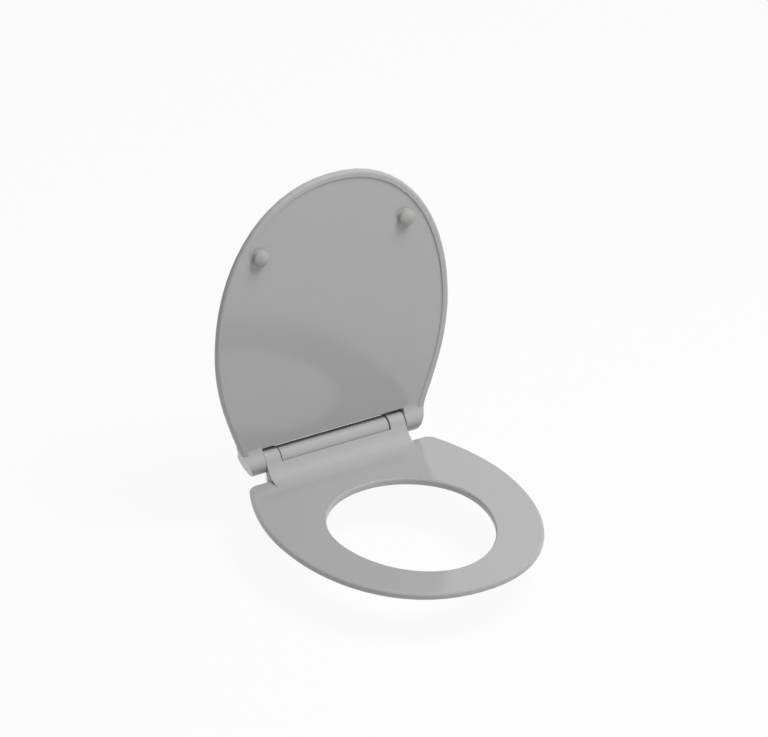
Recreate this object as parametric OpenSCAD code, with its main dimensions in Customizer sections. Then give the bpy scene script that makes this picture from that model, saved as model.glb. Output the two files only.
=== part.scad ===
// Slim toilet seat: a one-piece moulded ring and a lid that turn on one soft-close hinge bar.
// Seen from the front, +X is to the right, the front tip points to -Y and +Z is up.
// The origin lies on the bowl's top face, midway between the two fixing pins.
// The hinge axis runs along X, straight above the origin.

/* [Ring] */
// Width of the ring at its widest place
ring_w = 363.5; // [340:0.5:380]
// Distance from the hinge axis to the ring's widest place
ring_wide_y = 175.5; // [165:0.5:190]
// Length of the ring from its widest place to the front tip
ring_front = 241.3; // [220:0.1:260]
// Half axis of the curve along which the ring narrows towards the hinge
ring_rear = 265.7; // [250:0.1:285]
// Fullness of the ring's front curve, where 2 is a plain ellipse
ring_front_full = 2.16; // [2:0.02:2.4]
// Fullness of the ring's rear curve
ring_rear_full = 1.82; // [1.76:0.02:2.1]
// Distance from the hinge axis to the ring's straight rear edge
ring_edge_y = 23.5; // [22:0.5:30]
// Corner radius at both ends of the rear edge
ring_corner_r = 17; // [12:1:24]
// Thickness of the ring
ring_t = 10.5; // [9:0.5:13]
// Edge radius along the outside of the ring
ring_outer_round = 4; // [2:0.5:4]
// Edge radius along the hole
ring_inner_round = 3; // [2:0.5:4]
// Depth of the ring's top face under the hinge axis
ring_drop = 18.8; // [18.6:0.1:21]

/* [Hole] */
// Width of the hole
hole_w = 221.2; // [200:0.2:235]
// Distance from the hinge axis to the widest place of the hole
hole_wide_y = 211.8; // [205:0.2:220]
// Length of the hole from its widest place to its front end
hole_front = 144.4; // [130:0.2:152]
// Length of the hole from its widest place to its rear end
hole_rear = 113.8; // [105:0.2:122]
// Fullness of the hole's curve
hole_full = 1.96; // [1.9:0.02:2.2]

/* [Lid] */
// How far the lid is opened
lid_open = 90; // [0:5:98]
// How far the lid's outline stands outside the ring's
lid_overhang = 0.5; // [0:0.5:4]
// How far the lid's outline lies ahead of the ring's
lid_ahead = 3.4; // [0:0.2:6]
// Thickness of the lid at its edge
lid_t = 10.5; // [9:0.5:13]
// Rise of the lid's upper face from its edge to its middle
lid_crown = 3; // [0:0.5:6]
// Depth of the lid's rim face under the hinge axis when the lid is closed
lid_rim_drop = 8.3; // [7.5:0.1:8.8]
// Width of the flat rim around the recessed underside
lid_rim_w = 9; // [7:0.5:10]
// Depth of the recess inside the rim
lid_recess = 2; // [1:0.25:3]
// Edge radius of the lid
lid_round = 4; // [2:0.5:4]
// Distance from the hinge axis at which the lid's sides begin to sweep in to its ears
lid_sweep_y = 92; // [85:1:105]

/* [Hinge] */
// Height of the hinge axis above the bowl
axis_h = 37.5; // [37:0.5:42]
// Outer radius of the fixed bar between the ears
bar_r = 15; // [14:0.1:15.2]
// Outer radius of the ring's two ears
ring_ear_r = 16.2; // [15.8:0.1:16.3]
// Outer radius of the lid's two ears
lid_ear_r = 17.2; // [16.9:0.1:17.6]
// Distance from the middle to the inner faces of the ring's ears
ear_in_x = 86; // [85:0.5:90]
// Distance from the middle to the outer faces of the ring's ears
ear_out_x = 110.2; // [108:0.2:112]
// Distance from the middle to the lid's sides where they cross the axis
lid_ear_x = 135; // [133:0.5:138]
// How far the lid's sides lean in there, in degrees
lid_ear_lean = 23; // [16:1:26]
// Gap along the axis between parts that turn past each other
turn_gap = 0.7; // [0.5:0.1:1]
// Distance from the axis at which the ring's face begins to rise to its ears
ramp_y = 50; // [46:1:54]
// Height above the axis of the ring's free edge along the bar
ramp_edge_h = 1.2; // [0:0.2:2]
// Radial gap around the bar, inside the ring's free edge
bar_gap = 0.8; // [0.6:0.1:1.2]
// Inner radius of the lid's hood over the bar
hood_r = 16.8; // [16.7:0.1:17]
// Wall of the lid's hood
hood_wall = 2.3; // [2:0.1:2.6]
// Edge radius at the ends of the bar and of the ring's ears
hinge_round = 1.2; // [0.6:0.1:1.6]

/* [Dampers and bushes] */
// Radius of the damper barrels inside the bar
damper_r = 9.5; // [8:0.5:10]
// Length of a damper barrel
damper_len = 56; // [44:1:60]
// Radius of the damper shafts
shaft_r = 4; // [3.6:0.1:4.4]
// Width across the flats where a shaft is keyed
key_flats = 6; // [5:0.2:6.4]
// Radius of the right shaft's plain end
pivot_r = 2.8; // [2.4:0.1:2.9]
// Outer radius of the bushes in the ring's ears
ring_bush_r = 8; // [7:0.5:9]
// Outer radius of the bushes in the lid's ears
lid_bush_r = 7; // [6:0.5:8]
// Length of the bushes in the lid's ears
lid_bush_len = 19; // [14:1:20]
// Radial clearance of a running fit
run_fit = 0.06; // [0.03:0.01:0.1]
// Clearance around a part that sits in its seat
seat_fit = 0.1; // [0.05:0.05:0.2]

/* [Fixings] */
// Distance between the two fixing pins
pin_spacing = 155; // [150:1:158]
// Radius of the threaded shanks
shank_r = 4; // [3:0.5:4]
// Length of the shanks below the bowl's top face
shank_len = 54; // [50:1:70]
// Thickness of the bowl that the pins clamp
bowl_t = 20; // [16:1:24]
// Radius of the round base plates
base_r = 22; // [20:0.5:24]
// Thickness of the base plates
base_t = 3.5; // [3:0.5:4]
// Thickness of the gaskets under the base plates
gasket_t = 1.5; // [1:0.5:2]
// Radius of the two sockets under the bar
socket_r = 17; // [16:0.5:17]
// Height of the sockets
socket_h = 14; // [13:0.5:14]
// Width of the necks between the bar and its sockets, front to rear
neck_d = 12.4; // [10:0.2:12.4]
// Radius of the fixing pins' heads
pin_head_r = 6; // [5.5:0.1:6.4]
// Radius of the fixing pins' flanges
pin_flange_r = 7.5; // [7:0.1:8]
// Travel of the release buttons
button_travel = 3; // [2:0.5:3]
// Width of the release buttons
button_w = 14; // [12:0.5:16]
// Height of the release buttons
button_h = 4.4; // [3.6:0.2:4.6]
// Clearance around the sliding buttons
slide_gap = 0.3; // [0.2:0.05:0.4]

/* [Buffers] */
// Radius of the domed buffers under the lid
lid_buffer_r = 12; // [9:0.5:13]
// Distance from the middle to each lid buffer
lid_buffer_x = 114.5; // [108:0.5:120]
// Distance from the lid's front tip to its buffers
lid_buffer_tip = 97; // [85:0.5:110]
// Length of the buffers under the ring
ring_buffer_len = 38; // [26:1:42]
// Width of the buffers under the ring
ring_buffer_w = 14; // [10:1:18]
// Distance from the middle to each front buffer of the ring
front_buffer_x = 92; // [84:1:98]
// Distance from the ring's front tip to its front buffers
front_buffer_tip = 69; // [62:1:76]
// Distance from the middle to each rear buffer of the ring
rear_buffer_x = 136; // [130:1:140]
// Distance of the rear buffers behind the ring's widest place
rear_buffer_back = 58; // [46:1:70]
// Radius of the pegs that hold the buffers
peg_r = 3; // [2.5:0.1:3.5]
// Length of the pegs that hold the buffers
peg_len = 4; // [3:0.5:5]

/* [Hidden] */
moulding = "#b4b4b4";
rubber = "#c4c4c2";
steel = "#b9bcbf";
round_fn = 72;
small_fn = 32;

// Heights measured from the hinge axis, with the lid closed
ring_top = -ring_drop;
ring_under = ring_top - ring_t;
rim_face = -lid_rim_drop;
recess_face = rim_face + lid_recess;
lid_top = rim_face + lid_t;
recess_slope = 1.2;

// Places along the axis, measured from the middle
bar_x = ear_in_x - 2 * turn_gap;
lid_ear_in_x = ear_out_x + turn_gap;
damper_x = bar_x - damper_len - turn_gap;
shaft_in_x = bar_x - damper_len / 2;
key_x = [ear_in_x + turn_gap, ear_out_x - turn_gap];
lid_key_x = [lid_ear_in_x + turn_gap, lid_ear_in_x + lid_bush_len];

// Heights of the fixings above the bowl
base_top = gasket_t + base_t;
socket_top = base_top + socket_h;
slot_h = base_top + 3;
head_h = slot_h + button_h + 2 * slide_gap;
pin_top = head_h + 3.5;
pin_room = 0.5;

// Where a rising curve's circle lies: it leaves a flat face and meets an ear without an edge
function rise_r(start, flat, ear) = (start * start + flat * flat - ear * ear) / (2 * (flat + ear));
function rise_centre(start, flat, ear) = [-start, rise_r(start, flat, ear) - flat];
overlap = 0.04;
ramp_c = rise_centre(ramp_y, ring_drop, ring_ear_r);
ramp_r = rise_r(ramp_y, ring_drop, ring_ear_r);
lid_under_y = 27;
lid_over_y = 30;

// Places of the buffers, measured from the hinge axis
lid_buffer_y = ring_wide_y + ring_front + lid_overhang + lid_ahead - lid_buffer_tip;
front_buffer_y = ring_wide_y + ring_front - front_buffer_tip;
rear_buffer_y = ring_wide_y - rear_buffer_back;

// Reach of an egg-shaped outline in one direction; turn 0 is the front tip and 180 the rear
function egg_reach(turn, half_w, front, rear, front_full, rear_full) =
    let (full = cos(turn) > 0 ? front_full : rear_full, reach = cos(turn) > 0 ? front : rear)
    pow(pow(abs(sin(turn)) / half_w, full) + pow(abs(cos(turn)) / reach, full), -1 / full);
function egg_point(turn, wide_y, half_w, front, rear, front_full, rear_full) =
    let (reach = egg_reach(turn, half_w, front, rear, front_full, rear_full))
    [reach * sin(turn), -wide_y - reach * cos(turn)];

// A point of the ring's outline curve, grown by the same amount all round
function ring_point(turn, grow = 0) = egg_point(turn, ring_wide_y, ring_w / 2 + grow,
    ring_front + grow, ring_rear + grow, ring_front_full, ring_rear_full);
function hole_point(turn) = egg_point(turn, hole_wide_y, hole_w / 2, hole_front, hole_rear,
    hole_full, 2);

// Unit vector that points into the outline at one place of the ring's curve
function inward(turn) =
    let (along = ring_point(turn + 0.5) - ring_point(turn - 0.5))
    [-along[1], along[0]] / norm(along);

// Turn at which the outline, moved in by the corner radius, comes level with the corner's centre
function corner_turn(low = 100, high = 165, n = 24) =
    let (mid = (low + high) / 2, y = (ring_point(mid) + ring_corner_r * inward(mid))[1])
    n == 0 ? mid
        : y < -ring_edge_y - ring_corner_r ? corner_turn(mid, high, n - 1)
        : corner_turn(low, mid, n - 1);

// Turn at which the lid's outline reaches a distance from the axis
function turn_at(y, low = 100, high = 165, n = 24) =
    let (mid = (low + high) / 2)
    n == 0 ? mid
        : ring_point(mid, lid_overhang)[1] < y ? turn_at(y, mid, high, n - 1)
        : turn_at(y, low, mid, n - 1);

// Points on a circle's arc, and on a cubic curve with four handles
function arc(centre, r, from, to, n) =
    [for (i = [1 : n]) let (a = from + (to - from) * i / n) centre + r * [cos(a), sin(a)]];
function curve(p, n) = [for (i = [1 : n]) let (t = i / n, u = 1 - t)
    u * u * u * p[0] + 3 * t * u * u * p[1] + 3 * t * t * u * p[2] + t * t * t * p[3]];

// A straight row of points that ends on the middle line
function row_to_middle(from, n) = [for (i = [1 : n]) [from[0] * (1 - i / n), from[1]]];

// The left half of an outline is the right half in a mirror
function whole_loop(half) =
    concat(half, [for (i = [len(half) - 2 : -1 : 1]) [-half[i][0], half[i][1]]]);

// Right half of the ring's outline: the egg, the corner and the straight rear edge
side_n = 30;
corner_n = 6;
rear_n = 8;
ring_turn = corner_turn();
ring_corner = ring_point(ring_turn) + ring_corner_r * inward(ring_turn);
corner_start = atan2(-inward(ring_turn)[1], -inward(ring_turn)[0]);
ring_loop = whole_loop(concat(
    [for (i = [0 : side_n]) ring_point(ring_turn * i / side_n)],
    arc(ring_corner, ring_corner_r, corner_start, 90, corner_n),
    row_to_middle([ring_corner[0], -ring_edge_y], rear_n)));
half_n = side_n + corner_n + rear_n;
hole_loop = whole_loop([for (i = [0 : half_n]) hole_point(180 * i / half_n)]);

// Right half of the lid's outline: the egg, the sweep to the ear and the end inside the ear
lid_turn = turn_at(lid_ahead - lid_sweep_y);
lid_start = ring_point(lid_turn, lid_overhang) - [0, lid_ahead];
lid_heading = ring_point(lid_turn + 1, lid_overhang) - ring_point(lid_turn, lid_overhang);
lean = [-sin(lid_ear_lean), cos(lid_ear_lean)];
lid_side_end = [lid_ear_x, 0] - 9 * lean;
sweep_pull = 26;
lid_side = concat(
    [for (i = [0 : side_n - 6]) ring_point(lid_turn * i / (side_n - 6), lid_overhang) - [0, lid_ahead]],
    curve([lid_start, lid_start + sweep_pull * lid_heading / norm(lid_heading),
        lid_side_end - sweep_pull * lean, lid_side_end], 6));
lid_corner_r = 13;
lid_corner = lid_side_end - lid_corner_r * [lean[1], -lean[0]];
lid_loop = whole_loop(concat(lid_side, arc(lid_corner, lid_corner_r, lid_ear_lean, 90, corner_n),
    row_to_middle([lid_corner[0], lid_corner[1] + lid_corner_r], rear_n)));

// Moves every point of a closed outline inwards
function inset(points, distance) =
    let (n = len(points))
    [for (i = [0 : n - 1])
        let (along = points[(i + 1) % n] - points[(i + n - 1) % n])
        points[i] + distance * [-along[1], along[0]] / norm(along)];

// Draws a closed outline in towards one point
function shrink(points, centre, share) = [for (p = points) p + share * (centre - p)];

// A level loop at a height, and the loops of a rounded edge from one face round to the side
function level(points, z) = [for (p = points) [p[0], p[1], z]];
function edge_loops(points, z, r, face, grow = 1, steps = 4) = [for (i = [0 : steps])
    let (a = 90 * i / steps)
    level(inset(points, grow * (r - r * sin(a))), z - face * (r - r * cos(a)))];
function backwards(list) = [for (i = [len(list) - 1 : -1 : 0]) list[i]];

// Skin over a row of loops with equal counts; a closed row ends on its first loop
module skin(loops, closed = false) {
    n = len(loops[0]);
    m = len(loops);
    sides = [for (j = [0 : m - (closed ? 1 : 2)], i = [0 : n - 1], half = [0, 1])
        let (a = j * n + i, b = j * n + (i + 1) % n,
            c = ((j + 1) % m) * n + (i + 1) % n, d = ((j + 1) % m) * n + i)
        half == 0 ? [a, b, c] : [a, c, d]];
    ends = closed ? [] : [[for (i = [n - 1 : -1 : 0]) i], [for (i = [0 : n - 1]) (m - 1) * n + i]];
    polyhedron(points = [for (loop = loops) each loop], faces = concat(sides, ends), convexity = 6);
}

// Extrudes a front-to-rear section along X
module along_x(from, to) {
    translate([from, 0, 0])
        rotate([90, 0, 90])
            linear_extrude(height = to - from, convexity = 4)
                children();
}

// A round solid on the hinge axis between two places
module round_x(from, to, r) {
    translate([from, 0, 0])
        rotate([0, 90, 0])
            cylinder(r = r, h = to - from, $fn = round_fn);
}

// A round solid on the hinge axis with a rounded edge at its far end, and one at its near end
module soft_round_x(from, to, r, far, near = 0) {
    len = to - from;
    translate([from, 0, 0])
        rotate([0, 90, 0])
            rotate_extrude($fn = round_fn)
                difference() {
                    square([r, len]);
                    translate([r - far, len - far])
                        edge_waste(far);
                    if (near > 0)
                        translate([r - near, near])
                            mirror([0, 1])
                                edge_waste(near);
                }
}

// What a rounding of an outer corner takes away
module edge_waste(r) {
    difference() {
        square(r + 1);
        circle(r, $fn = small_fn);
    }
}

// Section between a flat face and an ear, hollowed by the circle that joins them
module rise_section(start, flat, ear, sink) {
    centre = rise_centre(start, flat, ear);
    meet = centre * (ear - 0.2) / norm(centre);
    difference() {
        polygon([[-start, -flat - sink], [-start, -flat], meet, [0, 0]]);
        translate(centre - [0, overlap])
            circle(rise_r(start, flat, ear) - overlap / 2, $fn = 2 * round_fn);
    }
}

module at_axis() {
    translate([0, 0, axis_h])
        children();
}

// The lid and what it carries are laid out closed, and stand as far open as lid_open says
module on_lid() {
    translate([0, 0, axis_h])
        rotate([-lid_open, 0, 0])
            children();
}

// The left-hand copy of a part that is drawn for the right-hand side
module sided(side) {
    mirror([side < 0 ? 1 : 0, 0, 0])
        children();
}

// Section of a shaft end with two flats
module key_section(r, flats) {
    intersection() {
        circle(r, $fn = round_fn);
        square([2 * r + 1, flats], center = true);
    }
}

// Section of the ring's rise to its ears, with the rear wall that it ends in
module ring_hinge_section() {
    meet = ramp_c * (ring_ear_r - 0.2) / norm(ramp_c);
    wall_y = -socket_r - 1.3;
    difference() {
        polygon([[-ramp_y, ring_top - 2], [-ramp_y, ring_top], meet, [0, 0], [-11, -10.5],
            [wall_y, -17], [wall_y, ring_under + 2.5], [wall_y - 1.5, ring_under + 1],
            [-ramp_y + 12, ring_under + 1]]);
        translate(ramp_c - [0, overlap])
            circle(ramp_r - overlap / 2, $fn = 2 * round_fn);
    }
}

// The rise and the two round ears at its ends
module ring_hinge_solid() {
    set_back = 0.4;
    along_x(-ear_out_x + set_back, ear_out_x - set_back)
        ring_hinge_section();
    for (side = [-1, 1])
        sided(side)
            soft_round_x(ear_in_x, ear_out_x, ring_ear_r, hinge_round, hinge_round);
}

module seat_ring() {
    color(moulding)
        at_axis()
            difference() {
                union() {
                    skin(concat(
                        edge_loops(ring_loop, ring_top, ring_outer_round, 1),
                        backwards(edge_loops(ring_loop, ring_under, ring_outer_round, -1)),
                        edge_loops(hole_loop, ring_under, ring_inner_round, -1, -1),
                        backwards(edge_loops(hole_loop, ring_top, ring_inner_round, 1, -1))),
                        closed = true);
                    ring_hinge_solid();
                }
                // Room for the bar between the ears
                round_x(-ear_in_x, ear_in_x, bar_r + bar_gap);
                along_x(-ear_in_x, ear_in_x)
                    translate([-ring_ear_r - 4, ramp_edge_h])
                        square([2 * ring_ear_r, ring_drop]);
                // Seats of the bushes
                for (side = [-1, 1])
                    sided(side) {
                        round_x(key_x[0], ear_out_x + 1, ring_bush_r + seat_fit);
                        round_x(ear_in_x - 1, ear_out_x, shaft_r + 0.4);
                    }
                for (place = ring_buffer_places)
                    translate([place[0], place[1], ring_under - 1])
                        cylinder(r = peg_r + seat_fit, h = peg_len + 1.3, $fn = small_fn);
            }
}

// Bush in one of the ring's ears: the left one runs on its shaft, the right one is keyed to it
module ring_bush(side) {
    color(rubber)
        at_axis()
            sided(side)
                difference() {
                    round_x(key_x[0] + seat_fit, key_x[1], ring_bush_r);
                    if (side < 0)
                        round_x(ear_in_x, ear_out_x, shaft_r + run_fit);
                    else
                        along_x(ear_in_x, ear_out_x)
                            key_section(shaft_r + seat_fit, key_flats + 2 * seat_fit);
                }
}

// Places of the four buffers, as X, Y and the turn of their length
ring_buffer_places = [
    [-front_buffer_x, -front_buffer_y, -48], [front_buffer_x, -front_buffer_y, 48],
    [-rear_buffer_x, -rear_buffer_y, 82], [rear_buffer_x, -rear_buffer_y, -82]];

// Long low rubber buffer with round ends and a peg
module ring_buffer(place) {
    h = axis_h + ring_under;
    run = (ring_buffer_len - ring_buffer_w) / 2;
    color(rubber)
        translate([place[0], place[1], 0]) {
            rotate([0, 0, place[2]]) {
                for (end = [-1, 1])
                    translate([end * run, 0, 0])
                        rotate_extrude($fn = small_fn)
                            buffer_half(h);
                rotate([90, 0, 90])
                    translate([0, 0, -run])
                        linear_extrude(2 * run)
                            union() {
                                buffer_half(h);
                                mirror([1, 0])
                                    buffer_half(h);
                            }
            }
            cylinder(r = peg_r, h = h + peg_len, $fn = small_fn);
        }
}

// Half of a buffer's cross-section, with its lower edge rounded
module buffer_half(h) {
    soft = 2;
    difference() {
        square([ring_buffer_w / 2, h]);
        translate([ring_buffer_w / 2 - soft, soft])
            mirror([0, 1])
                edge_waste(soft);
    }
}

// The lid's plate: recess, flat rim, rounded edge and crowned upper face
module lid_plate() {
    middle = [0, -ring_wide_y - lid_ahead];
    crown_steps = [0.12, 0.3, 0.5, 0.75];
    top_loop = inset(lid_loop, lid_round);
    skin(concat(
        [for (s = backwards(crown_steps))
            level(shrink(top_loop, middle, s), lid_top + lid_crown * (1 - pow(1 - s, 3)))],
        edge_loops(lid_loop, lid_top, lid_round, 1),
        backwards(edge_loops(lid_loop, rim_face, lid_round, -1)),
        [level(inset(lid_loop, lid_rim_w), rim_face)],
        [level(inset(lid_loop, lid_rim_w + recess_slope), recess_face)]));
}

// Section of the lid's hood over the bar, with the lid closed
module hood_section() {
    out_r = hood_r + hood_wall;
    lip_angle = 130;
    difference() {
        union() {
            circle(out_r, $fn = round_fn);
            rise_section(lid_over_y, -lid_top, out_r, 2);
        }
        polygon([[0, 0], 50 * [cos(lip_angle), sin(lip_angle)], [50, 50], [50, -50],
            [-out_r, -50], [-out_r - 1, 0]]);
    }
}

// What the ring's rise sweeps through under the lid
module ramp_room_section() {
    difference() {
        polygon([[-ramp_y, -ring_drop - 12], [5, -ring_drop - 12], [0, 0], ramp_c]);
        translate(ramp_c)
            circle(ramp_r - turn_gap, $fn = 2 * round_fn);
    }
}

module lid() {
    color(moulding)
        on_lid()
            difference() {
                union() {
                    difference() {
                        union() {
                            lid_plate();
                            along_x(-lid_ear_in_x - 2, lid_ear_in_x + 2)
                                hood_section();
                        }
                        round_x(-lid_ear_in_x, lid_ear_in_x, hood_r);
                        along_x(-lid_ear_in_x, lid_ear_in_x)
                            ramp_room_section();
                    }
                    for (side = [-1, 1])
                        sided(side)
                            lid_ear();
                }
                for (side = [-1, 1])
                    sided(side)
                        round_x(lid_ear_in_x - 1, lid_key_x[1] + 0.4, lid_bush_r + seat_fit);
                for (side = [-1, 1])
                    translate([side * lid_buffer_x, -lid_buffer_y, rim_face - 1])
                        cylinder(r = peg_r + seat_fit, h = lid_recess + peg_len + 1.3, $fn = small_fn);
            }
}

// One of the lid's ears, with the curves that lead to it from both faces; its end is the lid's side
module lid_ear() {
    side_end = [lid_ear_x, 0] + (lid_ear_r + 2) * lean;
    set_back = 0.2;
    near_axis = [for (p = lid_side) if (p[1] > -lid_over_y - 20) p - [set_back, 0]];
    intersection() {
        union() {
            round_x(lid_ear_in_x, lid_ear_x + lid_ear_r, lid_ear_r);
            along_x(lid_ear_in_x + turn_gap, lid_ear_x + lid_over_y) {
                rise_section(lid_over_y, -lid_top, lid_ear_r, 2);
                mirror([0, 1])
                    rise_section(lid_under_y, recess_face, lid_ear_r, 3);
            }
        }
        translate([0, 0, -lid_ear_r - 1])
            linear_extrude(2 * lid_ear_r + 2)
                polygon(concat([[lid_ear_in_x, side_end[1]], [lid_ear_in_x, near_axis[0][1]]],
                    near_axis, [side_end - [set_back, 0]]));
    }
}

// Bush in one of the lid's ears: the left one is keyed to its shaft, the right one runs on it
module lid_bush(side) {
    color(rubber)
        on_lid()
            sided(side)
                difference() {
                    round_x(lid_key_x[0], lid_key_x[1], lid_bush_r);
                    if (side > 0)
                        round_x(lid_ear_in_x, lid_key_x[1] - 1, pivot_r + run_fit);
                    else
                        along_x(lid_ear_in_x, lid_key_x[1] - 1)
                            key_section(shaft_r + seat_fit, key_flats + 2 * seat_fit);
                }
}

// Domed buffer under the lid; closed, it comes to rest on the ring
module lid_buffer(side) {
    h = ring_drop + recess_face - 0.2;
    dome_h = 5;
    dome_r = (lid_buffer_r * lid_buffer_r + dome_h * dome_h) / (2 * dome_h);
    color(rubber)
        on_lid()
            translate([side * lid_buffer_x, -lid_buffer_y, recess_face]) {
                rotate_extrude($fn = round_fn)
                    intersection() {
                        translate([0, dome_r - h])
                            circle(dome_r, $fn = 2 * round_fn);
                        translate([0, -h])
                            square([lid_buffer_r, h]);
                    }
                cylinder(r = peg_r, h = peg_len, $fn = small_fn);
            }
}

// Left shaft: turns in its damper, runs through the ring's ear and is keyed to the lid
module shaft_left() {
    color(steel)
        on_lid()
            sided(-1) {
                round_x(shaft_in_x, key_x[1] + turn_gap, shaft_r);
                along_x(key_x[1], lid_key_x[1] - 1.4)
                    key_section(shaft_r, key_flats);
            }
}

// Right shaft: turns in its damper, is keyed to the ring's ear and carries the lid on its end
module shaft_right() {
    color(steel)
        at_axis() {
            round_x(shaft_in_x, ear_in_x + 0.3, shaft_r);
            along_x(ear_in_x, key_x[1])
                key_section(shaft_r, key_flats);
            round_x(key_x[1] - 1, lid_key_x[1] - 1.4, pivot_r);
        }
}

// The damper barrel is a closed cartridge with a bore for its shaft
module damper(side) {
    color("#e2e2df")
        at_axis()
            sided(side)
                difference() {
                    round_x(damper_x, damper_x + damper_len, damper_r);
                    round_x(shaft_in_x - turn_gap, bar_x, shaft_r + run_fit);
                }
}

// The fixed bar with its two sockets, which slide down over the fixing pins
module hinge_bar() {
    neck_in_x = pin_spacing / 2 - socket_r + 3;
    color(moulding)
        difference() {
            union() {
                at_axis()
                    soft_round_x(-bar_x, bar_x, bar_r, hinge_round, hinge_round);
                for (side = [-1, 1])
                    sided(side) {
                        translate([neck_in_x, -neck_d / 2, socket_top - 1])
                            cube([bar_x - hinge_round - neck_in_x, neck_d, axis_h - socket_top - 8]);
                        translate([pin_spacing / 2, 0, base_top])
                            rotate_extrude($fn = round_fn)
                                difference() {
                                    square([socket_r, socket_h]);
                                    translate([socket_r - hinge_round, socket_h - hinge_round])
                                        edge_waste(hinge_round);
                                }
                    }
            }
            for (side = [-1, 1]) {
                at_axis()
                    sided(side)
                        round_x(damper_x - seat_fit, bar_x + 1, damper_r + seat_fit);
                translate([side * pin_spacing / 2, 0, base_top - 1]) {
                    cylinder(r = pin_flange_r + pin_room, h = 3, $fn = round_fn);
                    cylinder(r = pin_head_r + pin_room, h = pin_top - base_top + 1.5, $fn = round_fn);
                }
                translate([side * pin_spacing / 2 - button_w / 2 - slide_gap, -8, slot_h])
                    cube([button_w + 2 * slide_gap, socket_r + 9, button_h + 2 * slide_gap]);
            }
        }
}

// Release button: its fork grips under the pin's head until it is pressed in
module release_button(side) {
    fork_gap = 2 * shank_r + 0.8;
    fork_from = -8 + button_travel + slide_gap;
    color(moulding)
        translate([side * pin_spacing / 2, 0, slot_h + slide_gap])
            difference() {
                union() {
                    translate([-button_w / 2, fork_from, 0])
                        cube([button_w, socket_r - fork_from - 1, button_h]);
                    translate([-button_w / 2 + 1, socket_r - 2, 0])
                        cube([button_w - 2, button_travel + 2, button_h]);
                }
                translate([-fork_gap / 2, fork_from - 1, -1])
                    cube([fork_gap, button_travel + 1 - fork_from, button_h + 2]);
                translate([0, button_travel, -1])
                    cylinder(r = fork_gap / 2, h = button_h + 2, $fn = small_fn);
            }
}

// Steel pin: threaded shank below, flange on the base plate and round head above
module fixing_pin(side) {
    color(steel)
        translate([side * pin_spacing / 2, 0, 0])
            rotate_extrude($fn = round_fn)
                polygon([[0, -shank_len], [shank_r - 1, -shank_len], [shank_r, -shank_len + 1],
                    [shank_r, base_top], [pin_flange_r, base_top], [pin_flange_r, base_top + 1.6],
                    [shank_r, base_top + 1.6], [shank_r, head_h], [pin_head_r, head_h + 0.6],
                    [pin_head_r, pin_top - 1.4], [pin_head_r - 1.4, pin_top], [0, pin_top]]);
}

// Round base plate with a sloped edge and a slot that lets the pin be set front to rear
module base_plate(side) {
    color(steel)
        translate([side * pin_spacing / 2, 0, gasket_t])
            difference() {
                rotate_extrude($fn = round_fn)
                    polygon([[0, 0], [base_r, 0], [base_r, base_t - 1.6], [base_r - 1.6, base_t],
                        [0, base_t]]);
                translate([0, 0, -1])
                    cylinder(r = shank_r + seat_fit, h = base_t + 2, $fn = round_fn);
            }
}

module gasket(side) {
    color("#8f9090")
        translate([side * pin_spacing / 2, 0, 0])
            difference() {
                cylinder(r = base_r - 0.6, h = gasket_t, $fn = round_fn);
                translate([0, 0, -1])
                    cylinder(r = shank_r + seat_fit, h = gasket_t + 2, $fn = round_fn);
            }
}

// Rubber cone that centres the shank in the bowl's hole
module cone_washer(side) {
    color("#4a4b4d")
        translate([side * pin_spacing / 2, 0, -bowl_t])
            rotate_extrude($fn = round_fn)
                polygon([[shank_r + seat_fit, -6], [13, -6], [13, -4], [6.5, 0], [shank_r + seat_fit, 0]]);
}

module flat_washer(side) {
    color(steel)
        translate([side * pin_spacing / 2, 0, -bowl_t - 7.5])
            difference() {
                cylinder(r = 12, h = 1.5, $fn = round_fn);
                translate([0, 0, -1])
                    cylinder(r = shank_r + seat_fit, h = 4, $fn = round_fn);
            }
}

// Wing nut with two flat wings
module wing_nut(side) {
    nut_r = 8;
    color("#d8d9d8")
        translate([side * pin_spacing / 2, 0, -bowl_t - 7.5])
            difference() {
                union() {
                    translate([0, 0, -11])
                        cylinder(r = nut_r, h = 11, $fn = round_fn);
                    translate([-19, -1.6, -15])
                        cube([38, 3.2, 13]);
                }
                translate([0, 0, -16])
                    cylinder(r = shank_r + seat_fit, h = 17, $fn = round_fn);
            }
}

seat_ring();
ring_bush(-1);  // ring_bush_left
ring_bush(1);  // ring_bush_right
ring_buffer(ring_buffer_places[0]);  // ring_buffer_front_left
ring_buffer(ring_buffer_places[1]);  // ring_buffer_front_right
ring_buffer(ring_buffer_places[2]);  // ring_buffer_rear_left
ring_buffer(ring_buffer_places[3]);  // ring_buffer_rear_right
lid();
lid_bush(-1);  // lid_bush_left
lid_bush(1);  // lid_bush_right
lid_buffer(-1);  // lid_buffer_left
lid_buffer(1);  // lid_buffer_right
shaft_left();
shaft_right();
hinge_bar();
damper(-1);  // damper_left
damper(1);  // damper_right
release_button(-1);  // release_button_left
release_button(1);  // release_button_right
fixing_pin(-1);  // fixing_pin_left
fixing_pin(1);  // fixing_pin_right
base_plate(-1);  // base_plate_left
base_plate(1);  // base_plate_right
gasket(-1);  // gasket_left
gasket(1);  // gasket_right
cone_washer(-1);  // cone_washer_left
cone_washer(1);  // cone_washer_right
flat_washer(-1);  // flat_washer_left
flat_washer(1);  // flat_washer_right
wing_nut(-1);  // wing_nut_left
wing_nut(1);  // wing_nut_right
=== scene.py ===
# A toilet seat of moulded thermoset plastic, with its lid standing open, in plain studio light.
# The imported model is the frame; lengths here are metres, +X right, -Y front, +Z up.
import math

import bpy
from mathutils import Matrix, Vector

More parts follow.
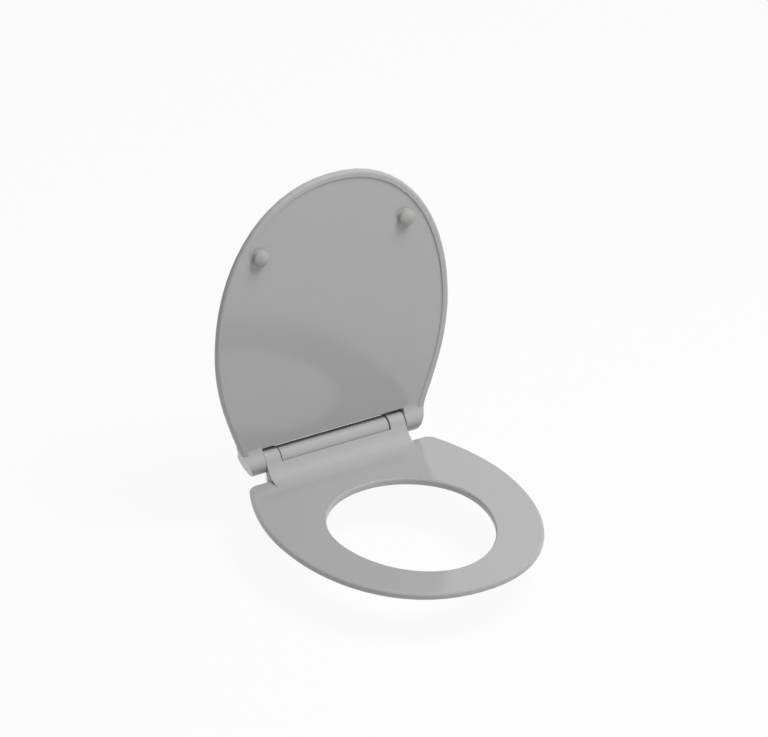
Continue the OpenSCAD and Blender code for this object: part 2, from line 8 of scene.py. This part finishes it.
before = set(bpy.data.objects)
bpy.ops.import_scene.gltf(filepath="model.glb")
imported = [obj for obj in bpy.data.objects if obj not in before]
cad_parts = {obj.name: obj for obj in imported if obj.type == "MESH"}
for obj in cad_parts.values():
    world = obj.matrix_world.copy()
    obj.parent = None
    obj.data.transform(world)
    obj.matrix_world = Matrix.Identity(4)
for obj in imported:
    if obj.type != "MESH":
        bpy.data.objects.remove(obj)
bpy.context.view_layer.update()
bpy.ops.object.select_all(action="DESELECT")


# The camera stands far off at the front left and looks down on the seat through a long lens.
# Its place is its aim, moved back along the line of sight.
def sight_frame(turn_deg, tip_deg, roll_deg):
    turn, tip = math.radians(turn_deg), math.radians(tip_deg)
    right = Vector((math.cos(turn), math.sin(turn), 0))
    ahead = Vector((-math.sin(turn) * math.cos(tip), math.cos(turn) * math.cos(tip), -math.sin(tip)))
    roll = Matrix.Rotation(math.radians(roll_deg), 3, ahead)
    return roll @ right, roll @ right.cross(ahead), ahead


camera_distance = 30.0
camera_aim = Vector((0.09148, 0.01228, 0.11930))
sensor_mm = 36
picture_width_px = 768
focal_px = 21931.77
right, up, ahead = sight_frame(-30.03, 29.746, 0.055)
camera_data = bpy.data.cameras.new("camera")
camera_data.sensor_width = sensor_mm
camera_data.lens = sensor_mm * focal_px / picture_width_px
camera_data.clip_start = 1
camera_data.clip_end = 100
camera = bpy.data.objects.new("camera", camera_data)
bpy.context.scene.collection.objects.link(camera)
place = Matrix((right, up, -ahead)).transposed().to_4x4()
place.translation = camera_aim - camera_distance * ahead
camera.matrix_world = place
bpy.context.scene.camera = camera


# Colours are written as sRGB hex and turned to linear light here.
def colour(hex_text):
    parts = [int(hex_text[i:i + 2], 16) / 255 for i in (1, 3, 5)]
    return [p / 12.92 if p <= 0.04045 else ((p + 0.055) / 1.055) ** 2.4 for p in parts] + [1]


# Adds one node to a material with its settings and links, and gives it back.
def add(tree, kind, settings=None, links=None):
    node = tree.nodes.new(kind)
    for name, value in (settings or {}).items():
        if isinstance(name, int) or name in node.inputs:
            node.inputs[name].default_value = value
        else:
            setattr(node, name, value)
    for name, source in (links or {}).items():
        tree.links.new(source, node.inputs[name])
    return node


# Starts a material and gives its tree and its shader.
def start_material(name, base, roughness, ior=1.5, metallic=0.0):
    material = bpy.data.materials.new(name)
    material.use_nodes = True
    shader = material.node_tree.nodes["Principled BSDF"]
    shader.inputs["Base Color"].default_value = colour(base)
    shader.inputs["Roughness"].default_value = roughness
    shader.inputs["IOR"].default_value = ior
    shader.inputs["Metallic"].default_value = metallic
    return material, material.node_tree, shader


# Thermoset moulding compound, pressed in a polished steel mould: a dense, even grey with a hard gloss.
# The eye sees crisp reflections and a barely uneven grey.
def thermoset(name, base, dark, ior):
    material, tree, shader = start_material(name, base, 0.12, ior)
    place = add(tree, "ShaderNodeTexCoord").outputs["Object"]
    cloud = add(tree, "ShaderNodeTexNoise", {"Scale": 14, "Detail": 3}, {"Vector": place})
    tint = add(tree, "ShaderNodeMix", {"data_type": "RGBA", 6: colour(dark), 7: colour(base)},
               {"Factor": cloud.outputs["Fac"]})
    tree.links.new(tint.outputs[2], shader.inputs["Base Color"])
    return material


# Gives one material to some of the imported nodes.
def dress(material, names):
    for name in names:
        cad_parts[name].data.materials.clear()
        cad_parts[name].data.materials.append(material)


# The names of a sub-part that is there once on each side
def both(name):
    return [name + "_left", name + "_right"]


dress(thermoset("thermoset_moulding", "#b8b8b8", "#b4b4b4", 1.7), ["seat_ring", "lid", "hinge_bar"])
dress(thermoset("abs_button", "#b2b2b2", "#aeaeae", 1.54), both("release_button"))


# Plastic or rubber moulded with a fine grain: grain_mm is the distance between two of its grains.
# The eye sees a soft sheen that is broken by the grain, with no clear reflection.
def grained(name, base, dark, roughness, ior, grain_mm):
    material, tree, shader = start_material(name, base, roughness, ior)
    place = add(tree, "ShaderNodeTexCoord").outputs["Object"]
    grain = add(tree, "ShaderNodeTexNoise", {"Scale": 1000 / grain_mm, "Detail": 2}, {"Vector": place})
    tint = add(tree, "ShaderNodeMix", {"data_type": "RGBA", 6: colour(dark), 7: colour(base)},
               {"Factor": grain.outputs["Fac"]})
    tree.links.new(tint.outputs[2], shader.inputs["Base Color"])
    bump = add(tree, "ShaderNodeBump", {"Strength": 0.15, "Distance": 0.0001},
               {"Height": grain.outputs["Fac"]})
    tree.links.new(bump.outputs["Normal"], shader.inputs["Normal"])
    return material


# Thermoplastic elastomer, moulded and left satin, for the buffers that the seat and lid rest on
elastomer = grained("elastomer_buffer", "#b6b6b4", "#a8a8a6", 0.42, 1.5, 0.9)
dress(elastomer, both("lid_buffer") + both("ring_buffer_front") + both("ring_buffer_rear"))

# Natural acetal, turned or moulded, milky and a little waxy
acetal = grained("natural_acetal", "#dcdbd4", "#d0cfc8", 0.35, 1.48, 1.2)
dress(acetal, both("ring_bush") + both("lid_bush") + both("damper"))

# Flat gaskets cut from dull rubber sheet, and cones moulded from black rubber
dress(grained("sheet_rubber", "#90908e", "#848482", 0.75, 1.5, 0.8), both("gasket"))
dress(grained("black_rubber", "#4c4c4e", "#424244", 0.6, 1.5, 0.8), both("cone_washer"))

# Nylon wing nuts, moulded with a light grain
dress(grained("moulded_nylon", "#d8d8d4", "#cacac6", 0.45, 1.53, 1.0), both("wing_nut"))


# Stainless steel, turned or pressed and brushed: scratches about 0.6 mm apart run round the pieces.
# The eye sees a bright metal whose reflections are drawn out along its scratches.
def brushed_steel(name, base):
    material, tree, shader = start_material(name, base, 0.3, metallic=1.0)
    place = add(tree, "ShaderNodeTexCoord").outputs["Object"]
    run = add(tree, "ShaderNodeMapping", {"Scale": (60, 60, 1600)}, {"Vector": place})
    scratch = add(tree, "ShaderNodeTexNoise", {"Scale": 1, "Detail": 3}, {"Vector": run.outputs[0]})
    gloss = add(tree, "ShaderNodeMapRange", {"To Min": 0.22, "To Max": 0.4},
                {"Value": scratch.outputs["Fac"]})
    tree.links.new(gloss.outputs[0], shader.inputs["Roughness"])
    return material


steel = brushed_steel("stainless_steel", "#c9cacc")
dress(steel, both("shaft") + both("fixing_pin") + both("base_plate") + both("flat_washer"))

# The floor
floor_drop = -0.06
bpy.ops.mesh.primitive_plane_add(size=12, location=(0, 0, floor_drop))
floor = bpy.context.object
floor.name = "floor"
floor_material, tree, shader = start_material("pale_floor", "#e8e8e8", 0.8)
output = tree.nodes["Material Output"]
path = add(tree, "ShaderNodeLightPath")
seen = add(tree, "ShaderNodeMath", {"operation": "MAXIMUM"},
           {0: path.outputs["Is Camera Ray"], 1: path.outputs["Is Glossy Ray"]})
share = add(tree, "ShaderNodeMath", {"operation": "MULTIPLY", 1: 0.93}, {0: seen.outputs[0]})
glow = add(tree, "ShaderNodeEmission", {"Color": colour("#ffffff"), "Strength": 1.0})
mix = add(tree, "ShaderNodeMixShader", None, {0: share.outputs[0], 1: shader.outputs[0], 2: glow.outputs[0]})
tree.links.new(mix.outputs[0], output.inputs["Surface"])
floor.data.materials.append(floor_material)

# World
world = bpy.data.worlds.new("studio")
bpy.context.scene.world = world
world.use_nodes = True
tree = world.node_tree
background = tree.nodes["Background"]
path = add(tree, "ShaderNodeLightPath")
seen = add(tree, "ShaderNodeMath", {"operation": "MAXIMUM"},
           {0: path.outputs["Is Camera Ray"], 1: path.outputs["Is Glossy Ray"]})
dim = add(tree, "ShaderNodeBackground", {"Color": colour("#ffffff"), "Strength": 0.18})
bright = add(tree, "ShaderNodeBackground", {"Color": colour("#ffffff"), "Strength": 1.0})
mix = add(tree, "ShaderNodeMixShader", None, {0: seen.outputs[0], 1: dim.outputs[0], 2: bright.outputs[0]})
tree.links.new(mix.outputs[0], tree.nodes["World Output"].inputs["Surface"])


# Lamps: each is a soft square card that faces the seat
def soft_lamp(name, place, size, power, aim=(0, -0.1, 0.15)):
    data = bpy.data.lights.new(name, "AREA")
    data.size = size
    data.energy = power
    lamp = bpy.data.objects.new(name, data)
    bpy.context.scene.collection.objects.link(lamp)
    lamp.location = place
    lamp.visible_glossy = False
    lamp.rotation_euler = (Vector(aim) - Vector(place)).to_track_quat("-Z", "Y").to_euler()
    return lamp


soft_lamp("key_lamp", (0.9, -1.3, 3.0), 1.6, 85)

bpy.context.scene.view_settings.view_transform = "Standard"
